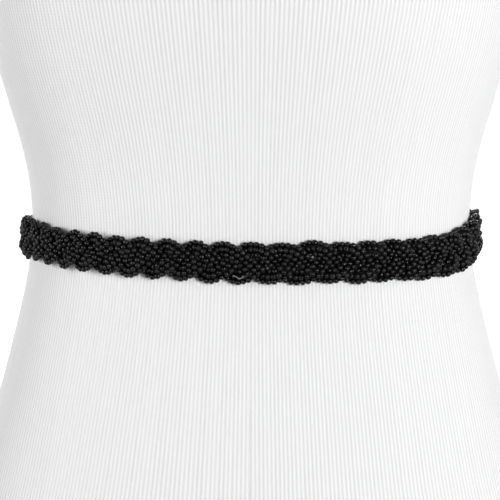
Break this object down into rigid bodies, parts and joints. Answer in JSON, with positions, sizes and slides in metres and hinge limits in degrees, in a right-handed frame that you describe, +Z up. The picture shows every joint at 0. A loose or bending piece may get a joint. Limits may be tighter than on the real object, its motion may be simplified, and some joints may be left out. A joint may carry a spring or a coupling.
{
  "type": "tassel belt on a dress form",
  "caption": "Flat braided belt of small black beads, tied behind with bead tassels, round the waist of a smooth limbless dress form that stands on its flat underside.",
  "frame": {"origin": "middle of the bounding box of the form's flat underside, where the part stands", "axes": "+Z up along the form; the front of the waist faces -Y; +X is to the right as the front is looked at"},
  "size_m": [0.344, 0.244, 0.633],
  "materials": {
    "beads": "glossy to satin black seed beads",
    "thread": "matte black wound thread and twisted cord",
    "form_knit": "matte white fine rib knit stretched over the form"
  },
  "bodies": {
    "root": {"dress_form": "form_knit", "braid_bundle_1": "beads", "braid_bundle_2": "beads", "braid_bundle_3": "beads", "end_cap_left": "thread", "end_cap_right": "thread", "tie_cord_left": "thread", "tie_cord_right": "thread", "tie_knot": "thread", "tassel_left": "beads", "tassel_right": "beads"}
  },
  "joints": []
}
